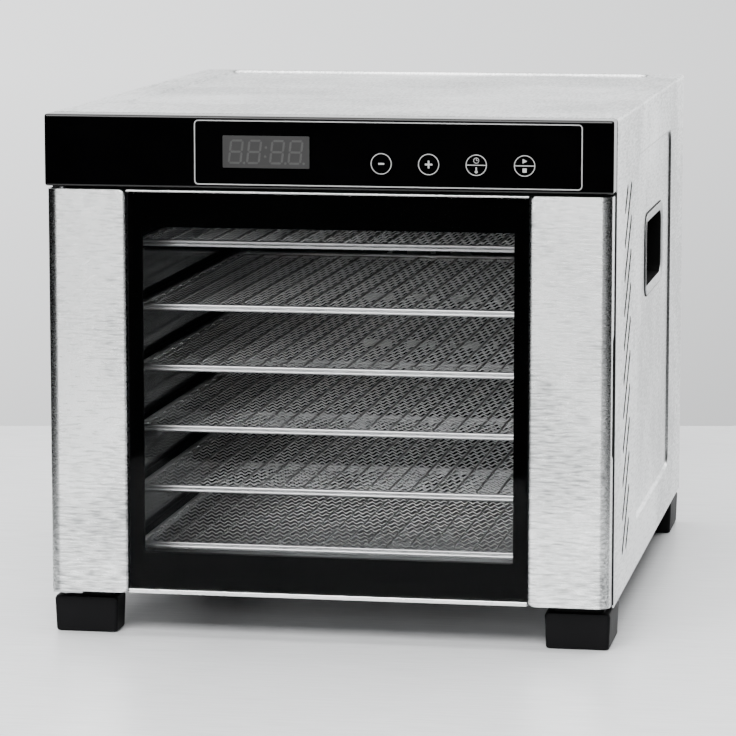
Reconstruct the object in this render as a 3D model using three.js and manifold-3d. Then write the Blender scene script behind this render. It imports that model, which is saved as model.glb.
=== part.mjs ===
// Food dehydrator with six wire trays, a glass door and a rear fan.
// Millimetres, +Z up, the door looks towards -Y. The origin is the centre of the footprint, on the table.
import * as THREE from 'three';
import { mergeVertices } from 'three/addons/utils/BufferGeometryUtils.js';
import Module from 'manifold-3d';

const wasm = await Module();
wasm.setup();

// ---------------------------------------------------------------- driving dimensions
const WIDTH = 340;
const DEPTH = 450;
const HEIGHT = 315;
const GAP = 0.3; // between touching pieces
const HALF = WIDTH / 2;
const DOOR_FRONT = -DEPTH / 2;
const DOOR_DEPTH = 20; // the door and the fascia stand this far in front of the case
const CASE_FRONT = DOOR_FRONT + DOOR_DEPTH;
const CASE_REAR = DEPTH / 2 - 4;
const CASE_BOTTOM = 24;
const SHEET = 0.8;
const INSIDE_HALF = HALF - SHEET - GAP;
const INSIDE_TOP = HEIGHT - SHEET - 1.5;

const FASCIA_BOTTOM = 272;
const DOOR_BOTTOM = 27;
const DOOR_TOP = FASCIA_BOTTOM - 1.7;
const DOOR_HALF = HALF - 0.6;
const GLASS_HALF = 120.4;
const WINDOW = { half: 114, bottom: 50, top: 249 };
const HINGE = { x: 8 - DOOR_HALF, y: -217, pinRadius: 2.5 };

const CHAMBER = { half: 131, bottom: 32, top: 261, front: CASE_FRONT + 12, rear: 130 };
const TRAY_COUNT = 6;
const TRAY = { half: 126, front: -180, rear: 120, lowest: 47.3, pitch: 37.2, cornerRadius: 10, wire: 2.5 };
const MESH_PITCH = 13.39;
const MESH_THICKNESS = 1.9;
const RUNNER_REACH = 8.5;

const PANEL_DEPTH = 1.5; // how far the stamped panels are sunk
const TOP_PANEL = { half: 147, front: -125, rear: 213, radius: 10 };
const SIDE_PANEL = { front: -80, rear: 132, bottom: 55, top: 283, radius: 10 };
// Slanting slots. The zone cuts the lowest and the highest of them short.
const LOUVRES = {
  count: 12, front: -157.5, rear: -124.5, bottom: 49.3, top: 268.6, first: 45.5, last: 273.3, width: 4,
};
const HANDLE = { front: -27, rear: 83, bottom: 188, top: 241, corner: 10, depth: 28 };

// Each foot is a corner block: full length along the case's side, shorter on its inner side.
const FOOT = {
  outer: 169.3, width: 39.3, length: 50, innerLength: 22, taper: 16, height: 22.3, frontStart: -216, rearEnd: 219,
};
const FOOT_SCREW = { across: 18, along: 29 }; // from the outer side and from the end of the case
const FEET = [['front_left', -1, -1], ['front_right', 1, -1], ['rear_left', -1, 1], ['rear_right', 1, 1]];
const AXIS_Z = 150; // height of the fan axis
const MOTOR_PLATE_Y = 172;
const HEATER = { radius: 64, tube: 3, y: 142 };
const CORD_GLAND = [120, 52]; // X and Z on the rear panel

const COLOURS = {
  steel: ['#c9cacb', 0.34, 1.0],
  plated: ['#a9abad', 0.4, 1.0],
  gloss: ['#08080a', 0.12, 0.0],
  plastic: ['#121214', 0.55, 0.0],
  glass: ['#15171a', 0.05, 0.0],
  rubber: ['#101010', 0.8, 0.0],
  enamel: ['#26282a', 0.5, 0.4],
  wire: ['#d5d7d9', 0.25, 1.0],
  board: ['#1f4a33', 0.6, 0.0],
  heater: ['#54504a', 0.5, 0.8],
  ceramic: ['#ded9cc', 0.7, 0.0],
};

// ---------------------------------------------------------------- geometry helpers
const object = new THREE.Group();

function solid(geometry) {
  const bare = geometry.clone();
  bare.deleteAttribute('normal');
  bare.deleteAttribute('uv');
  const merged = mergeVertices(bare, 1e-4);
  const mesh = new wasm.Mesh({
    numProp: 3,
    vertProperties: new Float32Array(merged.attributes.position.array),
    triVerts: new Uint32Array(merged.index.array),
  });
  return new wasm.Manifold(mesh);
}

function geometryOf(manifold) {
  const mesh = manifold.getMesh();
  const geometry = new THREE.BufferGeometry();
  geometry.setAttribute('position', new THREE.BufferAttribute(mesh.vertProperties, 3));
  geometry.setIndex(new THREE.BufferAttribute(mesh.triVerts, 1));
  geometry.computeVertexNormals();
  return geometry;
}

function unite(...pieces) {
  return pieces.reduce((sum, piece) => sum.add(piece));
}

function cut(body, ...tools) {
  return tools.reduce((rest, tool) => rest.subtract(tool), body);
}

function block(x0, x1, y0, y1, z0, z1) {
  const geometry = new THREE.BoxGeometry(x1 - x0, y1 - y0, z1 - z0);
  geometry.translate((x0 + x1) / 2, (y0 + y1) / 2, (z0 + z1) / 2);
  return solid(geometry);
}

// A rod or disc along one axis; centre holds the two other coordinates in x, y, z order.
function rod(axis, centre, start, end, radius, sides = 16) {
  const geometry = new THREE.CylinderGeometry(radius, radius, end - start, sides);
  const middle = (start + end) / 2;
  if (axis === 'x') {
    geometry.rotateZ(-Math.PI / 2);
    geometry.translate(middle, centre[0], centre[1]);
  } else if (axis === 'y') {
    geometry.translate(centre[0], middle, centre[1]);
  } else {
    geometry.rotateX(Math.PI / 2);
    geometry.translate(centre[0], centre[1], middle);
  }
  return solid(geometry);
}

const EXTRUDE_FRAMES = {
  x: new THREE.Matrix4().makeBasis(
    new THREE.Vector3(0, 1, 0), new THREE.Vector3(0, 0, 1), new THREE.Vector3(1, 0, 0)),
  y: new THREE.Matrix4().makeBasis(
    new THREE.Vector3(0, 0, 1), new THREE.Vector3(1, 0, 0), new THREE.Vector3(0, 1, 0)),
  z: new THREE.Matrix4(),
};

// Extrudes an outline drawn in the plane (Y, Z) for axis x, (Z, X) for axis y, (X, Y) for axis z.
function prism(axis, shape, start, end, curveSegments = 4) {
  const settings = { depth: end - start, bevelEnabled: false, curveSegments };
  const geometry = new THREE.ExtrudeGeometry(shape, settings);
  geometry.translate(0, 0, start);
  geometry.applyMatrix4(EXTRUDE_FRAMES[axis]);
  return solid(geometry);
}

function roundedRectangle(a0, a1, b0, b1, radius, target = new THREE.Shape()) {
  target.moveTo(a0 + radius, b0);
  target.lineTo(a1 - radius, b0);
  target.absarc(a1 - radius, b0 + radius, radius, -Math.PI / 2, 0);
  target.lineTo(a1, b1 - radius);
  target.absarc(a1 - radius, b1 - radius, radius, 0, Math.PI / 2);
  target.lineTo(a0 + radius, b1);
  target.absarc(a0 + radius, b1 - radius, radius, Math.PI / 2, Math.PI);
  target.lineTo(a0, b0 + radius);
  target.absarc(a0 + radius, b0 + radius, radius, Math.PI, 1.5 * Math.PI);
  return target;
}

function chamferedRectangle(a0, a1, b0, b1, corner) {
  const shape = new THREE.Shape();
  shape.moveTo(a0 + corner, b0);
  shape.lineTo(a1 - corner, b0);
  shape.lineTo(a1, b0 + corner);
  shape.lineTo(a1, b1 - corner);
  shape.lineTo(a1 - corner, b1);
  shape.lineTo(a0 + corner, b1);
  shape.lineTo(a0, b1 - corner);
  shape.lineTo(a0, b0 + corner);
  shape.closePath();
  return shape;
}

function add(name, manifold, look) {
  const [color, roughness, metalness] = COLOURS[look];
  const material = new THREE.MeshStandardMaterial({ color, roughness, metalness });
  const mesh = new THREE.Mesh(geometryOf(manifold), material);
  mesh.name = name;
  object.add(mesh);
}

// The same solid on the other side of the X = 0 plane, with its faces turned to point outwards again.
function mirrored(manifold) {
  const geometry = geometryOf(manifold);
  geometry.scale(-1, 1, 1);
  geometry.deleteAttribute('normal');
  geometry.index.array.reverse();
  return solid(geometry);
}

// ---------------------------------------------------------------- case
function wrapProfile(outerHalf, top, bottom, radius) {
  const shape = new THREE.Shape();
  shape.moveTo(bottom, -outerHalf);
  shape.lineTo(top - radius, -outerHalf);
  shape.absarc(top - radius, -outerHalf + radius, radius, -Math.PI / 2, 0);
  shape.lineTo(top, outerHalf - radius);
  shape.absarc(top - radius, outerHalf - radius, radius, 0, Math.PI / 2);
  shape.lineTo(bottom, outerHalf);
  shape.closePath();
  return shape;
}

function panelPlate(axis, outline, start, end, radius) {
  return prism(axis, roundedRectangle(...outline, radius), start, end);
}

function louvreSlots() {
  const slots = [];
  const pitch = (LOUVRES.last - LOUVRES.first) / (LOUVRES.count - 1);
  const zoneShape = new THREE.Shape();
  zoneShape.moveTo(LOUVRES.front, LOUVRES.bottom);
  zoneShape.lineTo(LOUVRES.rear, LOUVRES.bottom);
  zoneShape.lineTo(LOUVRES.rear, LOUVRES.top);
  zoneShape.lineTo(LOUVRES.front, LOUVRES.top);
  const zone = prism('x', zoneShape, HALF - 20, HALF + 20);
  const middle = (LOUVRES.front + LOUVRES.rear) / 2;
  const reach = (LOUVRES.rear - LOUVRES.front) / 2;
  for (let i = 0; i < LOUVRES.count; i += 1) {
    const height = LOUVRES.first + i * pitch;
    const slot = new THREE.BoxGeometry(30, 2 * Math.SQRT2 * reach, LOUVRES.width);
    slot.rotateX(Math.PI / 4);
    slot.translate(HALF, middle, height);
    slots.push(solid(slot).intersect(zone));
  }
  return unite(...slots);
}

function handleOutline(grow) {
  return chamferedRectangle(
    HANDLE.front - grow, HANDLE.rear + grow,
    HANDLE.bottom - grow, HANDLE.top + grow, HANDLE.corner + grow / 2);
}

function outerWrap() {
  const top = TOP_PANEL;
  const side = SIDE_PANEL;
  const skin = cut(
    prism('y', wrapProfile(HALF, HEIGHT, CASE_BOTTOM, 3), CASE_FRONT, CASE_REAR),
    prism('y', wrapProfile(HALF - SHEET, HEIGHT - SHEET, CASE_BOTTOM - 1, 2), CASE_FRONT - 1, CASE_REAR + 1));
  const topOutline = [-top.half, top.half, top.front, top.rear];
  const sideOutline = [side.front, side.rear, side.bottom, side.top];
  const grow = (outline, by) => outline.map((value, i) => (i % 2 === 0 ? value - by : value + by));
  const topBacking = panelPlate('z', grow(topOutline, SHEET), HEIGHT - PANEL_DEPTH - SHEET, HEIGHT - 0.2, 11);
  const topSunken = panelPlate('z', topOutline, HEIGHT - PANEL_DEPTH, HEIGHT + 1, top.radius);
  const sideBacking = panelPlate('x', grow(sideOutline, SHEET), HALF - PANEL_DEPTH - SHEET, HALF - 0.2, 11);
  const sideSunken = panelPlate('x', sideOutline, HALF - PANEL_DEPTH, HALF + 1, side.radius);
  const handleHole = prism('x', handleOutline(-2), HALF - 10, HALF + 10);
  const slots = louvreSlots();
  const backed = unite(skin, topBacking, sideBacking, mirrored(sideBacking));
  return cut(backed, topSunken, sideSunken, mirrored(sideSunken), handleHole, mirrored(handleHole),
    slots, mirrored(slots));
}

// A place on a foot, from the foot's outer side and from the near end of the case.
function footPoint(side, end, across, along) {
  const y = end < 0 ? FOOT.frontStart + along : FOOT.rearEnd - along;
  return [side * (FOOT.outer - across), y];
}

function footScrewPlace(side, end) {
  return footPoint(side, end, FOOT_SCREW.across, FOOT_SCREW.along);
}

function basePlate() {
  const plate = block(
    -INSIDE_HALF, INSIDE_HALF, CASE_FRONT + GAP, CASE_REAR - 4, CASE_BOTTOM, CASE_BOTTOM + SHEET);
  const holes = FEET.map(([, side, end]) => rod(
    'z', footScrewPlace(side, end), CASE_BOTTOM - 1, CASE_BOTTOM + 3, 3.2, 12));
  return cut(plate, ...holes);
}

function rearPanel() {
  const start = CASE_REAR - 3;
  const plate = block(
    -INSIDE_HALF, INSIDE_HALF, start, start + SHEET, CASE_BOTTOM + SHEET + GAP, INSIDE_TOP);
  const slots = [];
  for (const side of [-1, 1]) {
    for (let row = 0; row < 8; row += 1) {
      const z = AXIS_Z - 42 + row * 12;
      const reach = side * 48;
      slots.push(block(Math.min(4 * side, reach), Math.max(4 * side, reach), start - 1, start + 3, z, z + 4));
    }
  }
  const gland = rod('y', CORD_GLAND, start - 1, start + 3, 7.3);
  const screws = screwPlaces().map((place) => rod('y', place, start - 1, start + 3, 2.2, 8));
  return cut(plate, ...slots, gland, ...screws);
}

function screwPlaces() {
  return [[-155, 40], [155, 40], [-155, 300], [155, 300]];
}

function cordGland() {
  const start = CASE_REAR - 3;
  const body = rod('y', CORD_GLAND, start - 6, CASE_REAR + 4, 7);
  const collar = rod('y', CORD_GLAND, start + SHEET + GAP, CASE_REAR + 1.5, 10.5);
  const bore = rod('y', CORD_GLAND, start - 8, CASE_REAR + 6, 3.6, 12);
  return cut(unite(body, collar), bore);
}

function rearScrew(place) {
  const start = CASE_REAR - 3;
  const head = rod('y', place, start + SHEET + GAP, start + SHEET + 2.4, 3.8, 12);
  const shank = rod('y', place, start - 6, start + SHEET + 1, 1.8, 8);
  return unite(head, shank);
}

// ---------------------------------------------------------------- front
function frontFrame() {
  const front = CASE_FRONT - 1.5;
  const lip = block(-HALF, HALF, front, CASE_FRONT - GAP, 25.9, FASCIA_BOTTOM - GAP);
  const body = block(-INSIDE_HALF, INSIDE_HALF, front, CHAMBER.front - GAP, 25.9, INSIDE_TOP);
  const clearance = block(-HALF - 1, HALF + 1, front - 1, CASE_FRONT + 0.2, FASCIA_BOTTOM - GAP, HEIGHT + 1);
  const mouth = block(-CHAMBER.half, CHAMBER.half, front - 1, CHAMBER.front + 1, CHAMBER.bottom, CHAMBER.top);
  const cableWindow = block(-120, 140, front - 1, CHAMBER.front + 1, 278, 306);
  const bracketNotch = block(-HALF - 1, -149.7, front - 1, CASE_FRONT + 9.5, 24, DOOR_BOTTOM + GAP);
  const magnetPocket = block(147.7, 160.3, front - 1, CASE_FRONT + 5, 243.7, 256.3);
  return cut(unite(lip, body), clearance, mouth, cableWindow, bracketNotch, magnetPocket);
}

function controlFascia() {
  const rear = CASE_FRONT - GAP;
  const outline = new THREE.Shape();
  const bevel = 1.2;
  outline.moveTo(FASCIA_BOTTOM, rear);
  outline.lineTo(FASCIA_BOTTOM, DOOR_FRONT + bevel);
  outline.lineTo(FASCIA_BOTTOM + bevel, DOOR_FRONT);
  outline.lineTo(HEIGHT - bevel, DOOR_FRONT);
  outline.lineTo(HEIGHT, DOOR_FRONT + bevel);
  outline.lineTo(HEIGHT, rear);
  outline.closePath();
  // The outline is drawn as (Z, Y), so it is turned to (Y, Z) before the prism runs along X.
  const turned = new THREE.Shape(outline.getPoints().map((p) => new THREE.Vector2(p.y, p.x)));
  const shell = prism('x', turned, -HALF, HALF);
  const hollow = block(-HALF + 3, HALF - 3, DOOR_FRONT + 3.2, rear + 1, FASCIA_BOTTOM + 3, HEIGHT - 3);
  const boss = rod('z', [HINGE.x, HINGE.y], FASCIA_BOTTOM + 1, FASCIA_BOTTOM + 9, 6);
  const pinBore = rod('z', [HINGE.x, HINGE.y], FASCIA_BOTTOM - 1, FASCIA_BOTTOM + 8, HINGE.pinRadius + GAP);
  const pocket = prism('y', roundedRectangle(274, 311.6, -79, 152, 2), DOOR_FRONT - 1, DOOR_FRONT + 1.8);
  const displayHole = block(-62, -8, DOOR_FRONT, DOOR_FRONT + 5, 282.5, 305);
  return cut(unite(cut(shell, hollow), boss), pinBore, pocket, displayHole);
}

function touchOverlay() {
  const outline = roundedRectangle(274 + GAP, 311.6 - GAP, -79 + GAP, 152 - GAP, 1.7);
  return prism('y', outline, DOOR_FRONT, DOOR_FRONT + 1.5);
}

function displayModule() {
  const body = block(-66, -4, DOOR_FRONT + 3.5, DOOR_FRONT + 9, 279, 308);
  const face = block(-61.7, -8.3, DOOR_FRONT + 2.1, DOOR_FRONT + 4, 282.8, 304.7);
  return unite(body, face);
}

function controlBoard() {
  const board = block(-95, 150, DOOR_FRONT + 9.4, DOOR_FRONT + 11, 276.5, 310.5);
  const chip = block(20, 34, DOOR_FRONT + 10.5, DOOR_FRONT + 13, 286, 300);
  const connector = block(80, 100, DOOR_FRONT + 10.5, DOOR_FRONT + 17, 281, 289);
  return unite(board, chip, connector);
}

// ---------------------------------------------------------------- door
function pillarProfile() {
  const outer = DOOR_HALF;
  const inner = GLASS_HALF + GAP;
  const front = DOOR_FRONT;
  const flangeEnd = CASE_FRONT - 6.5;
  const lipEnd = DOOR_FRONT + 4.3;
  const bend = 6.8;
  const lipBend = 2.4;
  const shape = new THREE.Shape();
  shape.moveTo(outer, flangeEnd);
  shape.lineTo(outer - 1, flangeEnd);
  shape.lineTo(outer - 1, front + bend);
  shape.absarc(outer - bend, front + bend, bend - 1, 0, -Math.PI / 2, true);
  shape.lineTo(inner + lipBend, front + 1);
  shape.absarc(inner + lipBend, front + lipBend, lipBend - 1, -Math.PI / 2, -Math.PI, true);
  shape.lineTo(inner + 1, lipEnd);
  shape.lineTo(inner, lipEnd);
  shape.lineTo(inner, front + lipBend);
  shape.absarc(inner + lipBend, front + lipBend, lipBend, Math.PI, 1.5 * Math.PI);
  shape.lineTo(outer - bend, front);
  shape.absarc(outer - bend, front + bend, bend, -Math.PI / 2, 0);
  shape.closePath();
  return shape;
}

function doorPillar() {
  return prism('z', pillarProfile(), DOOR_BOTTOM, DOOR_TOP, 6);
}

function fingerNotch() {
  return block(DOOR_HALF - 3, DOOR_HALF + 3, DOOR_FRONT + 8, CASE_FRONT, 116, 187);
}

function doorFrame() {
  const half = DOOR_HALF - 3.5;
  const front = DOOR_FRONT + 4.7;
  const rear = CASE_FRONT - 4;
  const outline = block(-half, half, front, rear, DOOR_BOTTOM + 1, DOOR_TOP - 1);
  const window = block(-WINDOW.half, WINDOW.half, front - 1, rear + 1, WINDOW.bottom, WINDOW.top);
  const bore = HINGE.pinRadius + GAP;
  const topBore = rod('z', [HINGE.x, HINGE.y], DOOR_TOP - 12, DOOR_TOP, bore);
  const bottomBore = rod('z', [HINGE.x, HINGE.y], DOOR_BOTTOM, DOOR_BOTTOM + 12, bore);
  const platePocket = block(145.7, 162.3, rear - 1.5, rear + 1, 241.7, 258.3);
  return cut(outline, window, topBore, bottomBore, platePocket);
}

function doorGlass() {
  return block(
    -GLASS_HALF, GLASS_HALF, DOOR_FRONT + 0.4, DOOR_FRONT + 4.4, DOOR_BOTTOM + 2.9, DOOR_TOP - 1.3);
}

function doorBottomTrim() {
  return block(-GLASS_HALF, GLASS_HALF, DOOR_FRONT + 0.2, DOOR_FRONT + 4.4, DOOR_BOTTOM, DOOR_BOTTOM + 2.6);
}

function doorTopTrim() {
  return block(-GLASS_HALF, GLASS_HALF, DOOR_FRONT + 0.2, DOOR_FRONT + 4.4, DOOR_TOP - 1, DOOR_TOP);
}

function doorSeal() {
  const start = CASE_FRONT - 3.7;
  const end = CASE_FRONT - 1.8;
  const outer = block(-137, 137, start, end, 28.8, 266);
  const inner = block(-132.5, 132.5, start - 1, end + 1, 31.6, 262);
  return cut(outer, inner);
}

function hingePin(start, end) {
  return rod('z', [HINGE.x, HINGE.y], start, end, HINGE.pinRadius);
}

function hingeBracket() {
  const plate = block(-168, -150, DOOR_FRONT + 2, CASE_FRONT + 9.2, 25.5, DOOR_BOTTOM - GAP);
  return cut(plate, rod('z', [HINGE.x, HINGE.y], 24, 28, HINGE.pinRadius + GAP));
}

// ---------------------------------------------------------------- chamber and trays
function trayHeight(index) {
  return TRAY.lowest + (TRAY_COUNT - 1 - index) * TRAY.pitch;
}

// The top and the bottom tray lie upside down, with their mesh above the rim.
function isFlipped(index) {
  return index === 0 || index === TRAY_COUNT - 1;
}

function trayUnderside(index) {
  const rimBottom = trayHeight(index) - TRAY.wire / 2;
  return isFlipped(index) ? rimBottom : rimBottom - MESH_THICKNESS + GAP;
}

function trayRim(height) {
  const outline = roundedRectangle(-TRAY.half, TRAY.half, TRAY.front, TRAY.rear, TRAY.cornerRadius);
  const w = TRAY.wire;
  const hole = roundedRectangle(
    -TRAY.half + w, TRAY.half - w, TRAY.front + w, TRAY.rear - w, TRAY.cornerRadius - w, new THREE.Path());
  outline.holes.push(hole);
  return prism('z', outline, height - w / 2, height + w / 2, 3);
}

// The mesh is drawn as a plain grid that keeps only a few of its wires.
function trayLattice(start, end) {
  const edge = TRAY.wire / 2;
  const outline = roundedRectangle(
    -TRAY.half + edge, TRAY.half - edge, TRAY.front + edge, TRAY.rear - edge, TRAY.cornerRadius - edge);
  const bar = 1.4;
  const border = 6;
  const columns = 9;
  const columnStep = 2 * MESH_PITCH;
  const rows = 4;
  const rowStep = (TRAY.rear - TRAY.front - 2 * border) / rows;
  const gaps = [];
  for (let column = 0; column < columns; column += 1) {
    for (let row = 0; row < rows; row += 1) {
      const x = (column - columns / 2) * columnStep + bar / 2;
      const y = TRAY.front + border + row * rowStep + bar / 2;
      gaps.push(block(x, x + columnStep - bar, y, y + rowStep - bar, start - 1, end + 1));
    }
  }
  return cut(prism('z', outline, start, end, 3), ...gaps);
}

function tray(index) {
  const height = trayHeight(index);
  const half = TRAY.wire / 2;
  const rim = trayRim(height);
  if (isFlipped(index)) {
    return unite(rim, trayLattice(height + half - GAP, height + half - GAP + MESH_THICKNESS));
  }
  return unite(rim, trayLattice(height - half + GAP - MESH_THICKNESS, height - half + GAP));
}

function rackWall() {
  const wall = block(CHAMBER.half, CHAMBER.half + SHEET, CHAMBER.front, CHAMBER.rear, 31, 262);
  const runners = [];
  for (let i = 0; i < TRAY_COUNT; i += 1) {
    const top = trayUnderside(i) - GAP;
    runners.push(block(CHAMBER.half - RUNNER_REACH, CHAMBER.half + 0.5, CHAMBER.front + 6, CHAMBER.rear - 6,
      top - 2.4, top));
  }
  return unite(wall, ...runners);
}

function chamberPlate(start, end) {
  const inside = CHAMBER.half - GAP;
  return block(-inside, inside, CHAMBER.front, CHAMBER.rear, start, end);
}

function rearBaffle() {
  const start = CHAMBER.rear + GAP;
  const plate = block(-133, 133, start, start + SHEET, 30, 263);
  const slots = [];
  for (let column = 0; column < 7; column += 1) {
    for (let row = 0; row < 6; row += 1) {
      const x = (column - 3) * 30;
      const z = AXIS_Z + (row - 2.5) * 32;
      slots.push(block(x - 10, x + 10, start - 1, start + 3, z - 2.5, z + 2.5));
    }
  }
  return cut(plate, ...slots);
}

// ---------------------------------------------------------------- fan and heater
function motorPlate() {
  const start = MOTOR_PLATE_Y;
  const plate = block(-133, 133, start, start + SHEET, 30, 263);
  return cut(plate, rod('y', [0, AXIS_Z], start - 1, start + 3, 6));
}

function heaterCoil() {
  const geometry = new THREE.TorusGeometry(HEATER.radius, HEATER.tube, 6, 32);
  geometry.rotateX(Math.PI / 2);
  geometry.translate(0, HEATER.y, AXIS_Z);
  return solid(geometry);
}

function heaterMount(side) {
  const x = side * HEATER.radius;
  const body = block(x - 7, x + 7, HEATER.y - 6, MOTOR_PLATE_Y - GAP, AXIS_Z - 6, AXIS_Z + 6);
  const grip = HEATER.tube + 0.8;
  const notch = block(x - grip, x + grip, HEATER.y - 7, HEATER.y + HEATER.tube + 0.4, AXIS_Z - 7, AXIS_Z + 7);
  return cut(body, notch);
}

function fanImpeller() {
  const disc = rod('y', [0, AXIS_Z], 166, 167.4, 52, 32);
  const hub = rod('y', [0, AXIS_Z], 152, 167, 10);
  const blades = [];
  const bladeCount = 8;
  for (let i = 0; i < bladeCount; i += 1) {
    const blade = new THREE.BoxGeometry(42, 15, 1.4);
    blade.translate(30, 0, 0);
    blade.rotateY((i / bladeCount) * 2 * Math.PI);
    blade.translate(0, 159.5, AXIS_Z);
    blades.push(solid(blade));
  }
  return cut(unite(disc, hub, ...blades), rod('y', [0, AXIS_Z], 150, 170, 3.3, 12));
}

function motorShaft() {
  return rod('y', [0, AXIS_Z], 151, 190, 3, 12);
}

function fanMotor() {
  const can = rod('y', [0, AXIS_Z], MOTOR_PLATE_Y + 5.5, 206, 30, 24);
  const mountFace = MOTOR_PLATE_Y + SHEET + GAP;
  const flange = block(-38, 38, mountFace, mountFace + 5, AXIS_Z - 14, AXIS_Z + 14);
  return cut(unite(can, flange), rod('y', [0, AXIS_Z], 170, 192, 4.5, 12));
}

function temperatureSensor() {
  const probe = rod('y', [90, 228], 134, 160, 2.5, 10);
  const foot = rod('y', [90, 228], 158, MOTOR_PLATE_Y - GAP, 6, 12);
  return unite(probe, foot);
}

function thermalFuse() {
  const body = rod('x', [164, 214], -14, 14, 3.5, 10);
  const strap = block(-5, 5, 165, MOTOR_PLATE_Y - GAP, 211, 217);
  return unite(body, strap);
}

function powerBoard() {
  const board = block(-140, -50, 182, 214, 38, 39.6);
  const posts = [[-134, 188], [-134, 208], [-56, 188], [-56, 208]].map(
    (place) => rod('z', place, CASE_BOTTOM + SHEET + GAP, 39, 3, 8));
  const relay = block(-128, -112, 188, 206, 39, 54);
  const capacitor = rod('z', [-80, 198], 39, 60, 7);
  return unite(board, ...posts, relay, capacitor);
}

// ---------------------------------------------------------------- handles and feet
function handleCup() {
  const mouth = HALF - PANEL_DEPTH - GAP;
  const outer = prism('x', handleOutline(-3), mouth - HANDLE.depth, mouth);
  const inner = prism('x', handleOutline(-5), mouth - HANDLE.depth + 2, mouth + 1);
  return cut(outer, inner);
}

function handleBezel() {
  const start = HALF - PANEL_DEPTH + GAP;
  return cut(prism('x', handleOutline(0), start, HALF), prism('x', handleOutline(-6), start - 1, HALF + 1));
}

function foot(side, end) {
  const corners = [
    [0, 0], [FOOT.width, 0], [FOOT.width, FOOT.innerLength],
    [FOOT.width - FOOT.taper, FOOT.length], [0, FOOT.length],
  ];
  const points = corners.map((corner) => new THREE.Vector2(...footPoint(side, end, ...corner)));
  const outline = new THREE.Shape(points);
  const screw = footScrewPlace(side, end);
  const pad = prism('z', outline, 0, FOOT.height);
  const neck = rod('z', screw, FOOT.height - 1, CASE_BOTTOM - GAP, 15, 24);
  const counterbore = rod('z', screw, -1, 9, 6, 12);
  const bore = rod('z', screw, 0, CASE_BOTTOM + 1, 3.2, 12);
  return cut(unite(pad, neck), counterbore, bore);
}

function footScrew(side, end) {
  const place = footScrewPlace(side, end);
  const head = rod('z', place, 5.5, 9 - GAP, 5, 12);
  const shank = rod('z', place, 8, CASE_BOTTOM + 8, 2.6, 10);
  return unite(head, shank);
}

// ---------------------------------------------------------------- assembly
add('outer_wrap', outerWrap(), 'steel');
add('base_plate', basePlate(), 'plated');
add('rear_panel', rearPanel(), 'plated');
add('cord_gland', cordGland(), 'plastic');
screwPlaces().forEach((place, i) => add(`rear_screw_${i + 1}`, rearScrew(place), 'plated'));

add('front_frame', frontFrame(), 'plastic');
add('control_fascia', controlFascia(), 'gloss');
add('touch_overlay', touchOverlay(), 'gloss');
add('display_module', displayModule(), 'plastic');
add('control_board', controlBoard(), 'board');

const pillar = doorPillar();
add('door_pillar_left', mirrored(pillar), 'steel');
add('door_pillar_right', cut(pillar, fingerNotch()), 'steel');
add('door_frame', doorFrame(), 'plastic');
add('door_glass', doorGlass(), 'glass');
add('door_bottom_trim', doorBottomTrim(), 'steel');
add('door_top_trim', doorTopTrim(), 'steel');
add('door_seal', doorSeal(), 'rubber');
add('catch_plate', block(146, 162, CASE_FRONT - 5.2, CASE_FRONT - 4, 242, 258), 'plated');
add('door_magnet', block(148, 160, CASE_FRONT - 1.3, CASE_FRONT + 4.7, 244, 256), 'plated');
add('hinge_pin_top', hingePin(DOOR_TOP - 11, FASCIA_BOTTOM + 7.7), 'plated');
add('hinge_pin_bottom', hingePin(CASE_BOTTOM + 0.5, DOOR_BOTTOM + 11), 'plated');
add('hinge_bracket', hingeBracket(), 'plated');

add('rack_wall_right', rackWall(), 'enamel');
add('rack_wall_left', mirrored(rackWall()), 'enamel');
add('chamber_ceiling', chamberPlate(CHAMBER.top, CHAMBER.top + SHEET), 'enamel');
add('chamber_floor', chamberPlate(CHAMBER.bottom - SHEET, CHAMBER.bottom), 'enamel');
add('rear_baffle', rearBaffle(), 'enamel');
for (let i = 0; i < TRAY_COUNT; i += 1) {
  add(`tray_${i + 1}`, tray(i), 'wire');
}

add('motor_plate', motorPlate(), 'plated');
add('heater_coil', heaterCoil(), 'heater');
add('heater_mount_left', heaterMount(-1), 'ceramic');
add('heater_mount_right', heaterMount(1), 'ceramic');
add('fan_impeller', fanImpeller(), 'plated');
add('motor_shaft', motorShaft(), 'plated');
add('fan_motor', fanMotor(), 'plated');
add('temperature_sensor', temperatureSensor(), 'plated');
add('thermal_fuse', thermalFuse(), 'ceramic');
add('power_board', powerBoard(), 'board');

add('handle_cup_right', handleCup(), 'plastic');
add('handle_cup_left', mirrored(handleCup()), 'plastic');
add('handle_bezel_right', handleBezel(), 'steel');
add('handle_bezel_left', mirrored(handleBezel()), 'steel');
for (const [name, side, end] of FEET) {
  add(`foot_${name}`, foot(side, end), 'rubber');
  add(`foot_screw_${name}`, footScrew(side, end), 'plated');
}

export default object;
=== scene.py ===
"""Looks of the six-tray food dehydrator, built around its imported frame. Metres, +Z up, door towards -Y."""

import math

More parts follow.
